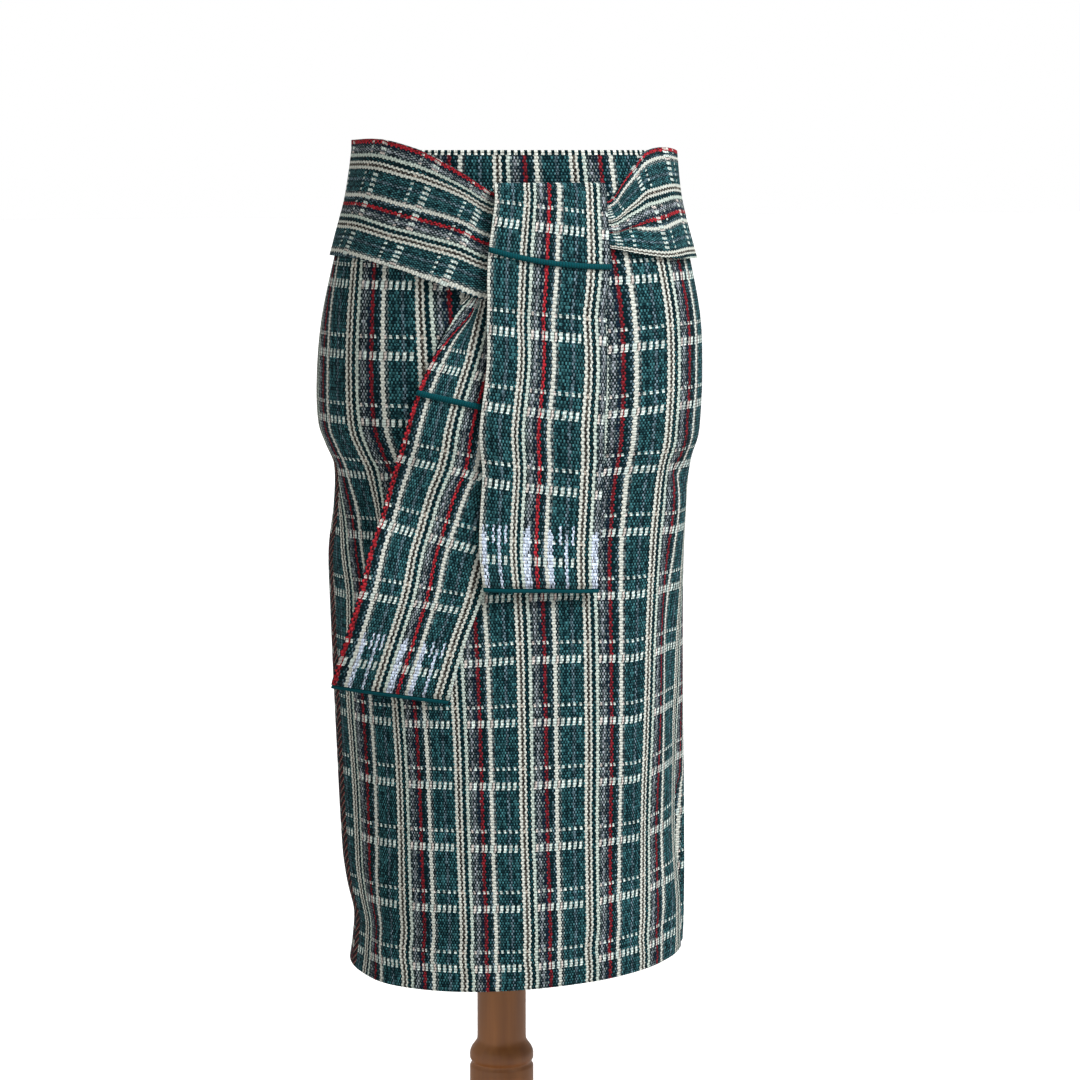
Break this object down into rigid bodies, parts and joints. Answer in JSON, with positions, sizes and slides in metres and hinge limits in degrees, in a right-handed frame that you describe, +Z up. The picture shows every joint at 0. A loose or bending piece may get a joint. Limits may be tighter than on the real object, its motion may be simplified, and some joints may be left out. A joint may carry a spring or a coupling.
{
  "type": "knit skirt with sash on a dress form stand",
  "caption": "Checked knit pencil skirt with a wide tie sash knotted at the front, worn on a limbless dress form with a turned wooden post and round base",
  "frame": {"origin": "centre of the round base's underside, on the floor under the post", "axes": "+Z up along the post, -Y towards the front of the skirt, +X towards the wearer's left"},
  "size_m": [0.38, 0.38, 1.0097],
  "materials": {
    "skirt_knit": "soft wool jacquard knit in a check of teal, grey, cream and red, matt",
    "sash_knit": "the same knit as a tube folded flat, matt",
    "sash_rib": "plain deep teal ribbed knit, matt",
    "form_linen": "natural linen stretched over the form",
    "stand_wood": "mid brown turned wood, satin varnish"
  },
  "bodies": {
    "root": {"skirt_front": "skirt_knit", "skirt_back": "skirt_knit", "sash_wrap_left": "sash_knit", "sash_wrap_right": "sash_knit", "sash_wrap_back": "sash_knit", "sash_knot": "sash_knit", "sash_tail_front": "sash_knit", "sash_tail_side": "sash_knit", "sash_welt_front": "sash_rib", "sash_welt_side": "sash_rib", "sash_hem_front": "sash_rib", "sash_hem_side": "sash_rib", "form_body": "form_linen", "stand_post": "stand_wood", "stand_base": "stand_wood"}
  },
  "joints": []
}
